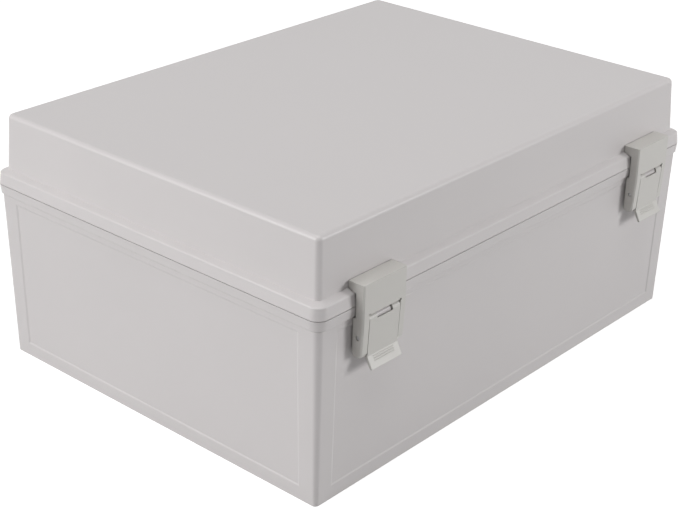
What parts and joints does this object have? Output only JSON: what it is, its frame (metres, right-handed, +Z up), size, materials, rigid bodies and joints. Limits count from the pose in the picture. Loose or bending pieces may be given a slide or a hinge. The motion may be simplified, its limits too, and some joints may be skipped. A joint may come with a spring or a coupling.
{
  "type": "junction box",
  "caption": "Light grey moulded junction box with a hinged lid held shut by toggle latches, and a steel mounting plate inside.",
  "frame": {"origin": "centre of the flat bottom face of the base", "axes": "+Z up out of the base, X along the latch side, the latches at -Y and the hinges at +Y"},
  "size_m": [0.4, 0.3224, 0.18],
  "materials": {
    "box_plastic": "fine matt moulded ABS, light grey",
    "latch_plastic": "fine matt moulded ABS, light grey",
    "seal_rubber": "matt black rubber",
    "plate_steel": "galvanised sheet",
    "fixing_steel": "zinc plated or stainless steel"
  },
  "bodies": {
    "base": {"base_shell": "box_plastic", "hinge_pin_left": "fixing_steel", "hinge_pin_right": "fixing_steel", "mounting_plate": "plate_steel", "mounting_plate_screws": "fixing_steel", "latch_left_pivot_pin": "fixing_steel", "latch_right_pivot_pin": "fixing_steel"},
    "lid": {"lid_shell": "box_plastic", "lid_gasket": "seal_rubber"},
    "left_lever": {"latch_left_lever": "latch_plastic", "latch_left_link_pin": "fixing_steel"},
    "left_yoke": {"latch_left_yoke": "latch_plastic"},
    "right_lever": {"latch_right_lever": "latch_plastic", "latch_right_link_pin": "fixing_steel"},
    "right_yoke": {"latch_right_yoke": "latch_plastic"}
  },
  "joints": [
    {"name": "lid_hinge", "type": "hinge", "parent": "base", "child": "lid", "pos_m": [0, 0.1556, 0.13], "axis": [-1, 0, 0], "range_deg": [0, 115]},
    {"name": "left_latch_lever", "type": "hinge", "parent": "base", "child": "left_lever", "pos_m": [0, -0.1533, 0.121], "axis": [-1, 0, 0], "range_deg": [0, 105]},
    {"name": "left_latch_yoke", "type": "hinge", "parent": "left_lever", "child": "left_yoke", "pos_m": [0, -0.15225, 0.1097], "axis": [-1, 0, 0], "range_deg": [-132, 0]},
    {"name": "right_latch_lever", "type": "hinge", "parent": "base", "child": "right_lever", "pos_m": [0, -0.1533, 0.121], "axis": [-1, 0, 0], "range_deg": [0, 105]},
    {"name": "right_latch_yoke", "type": "hinge", "parent": "right_lever", "child": "right_yoke", "pos_m": [0, -0.15225, 0.1097], "axis": [-1, 0, 0], "range_deg": [-132, 0]}
  ],
  "couplings": [
    {"joint": "left_latch_yoke", "follows": "left_latch_lever", "ratio": -1.25},
    {"joint": "right_latch_yoke", "follows": "right_latch_lever", "ratio": -1.25}
  ]
}
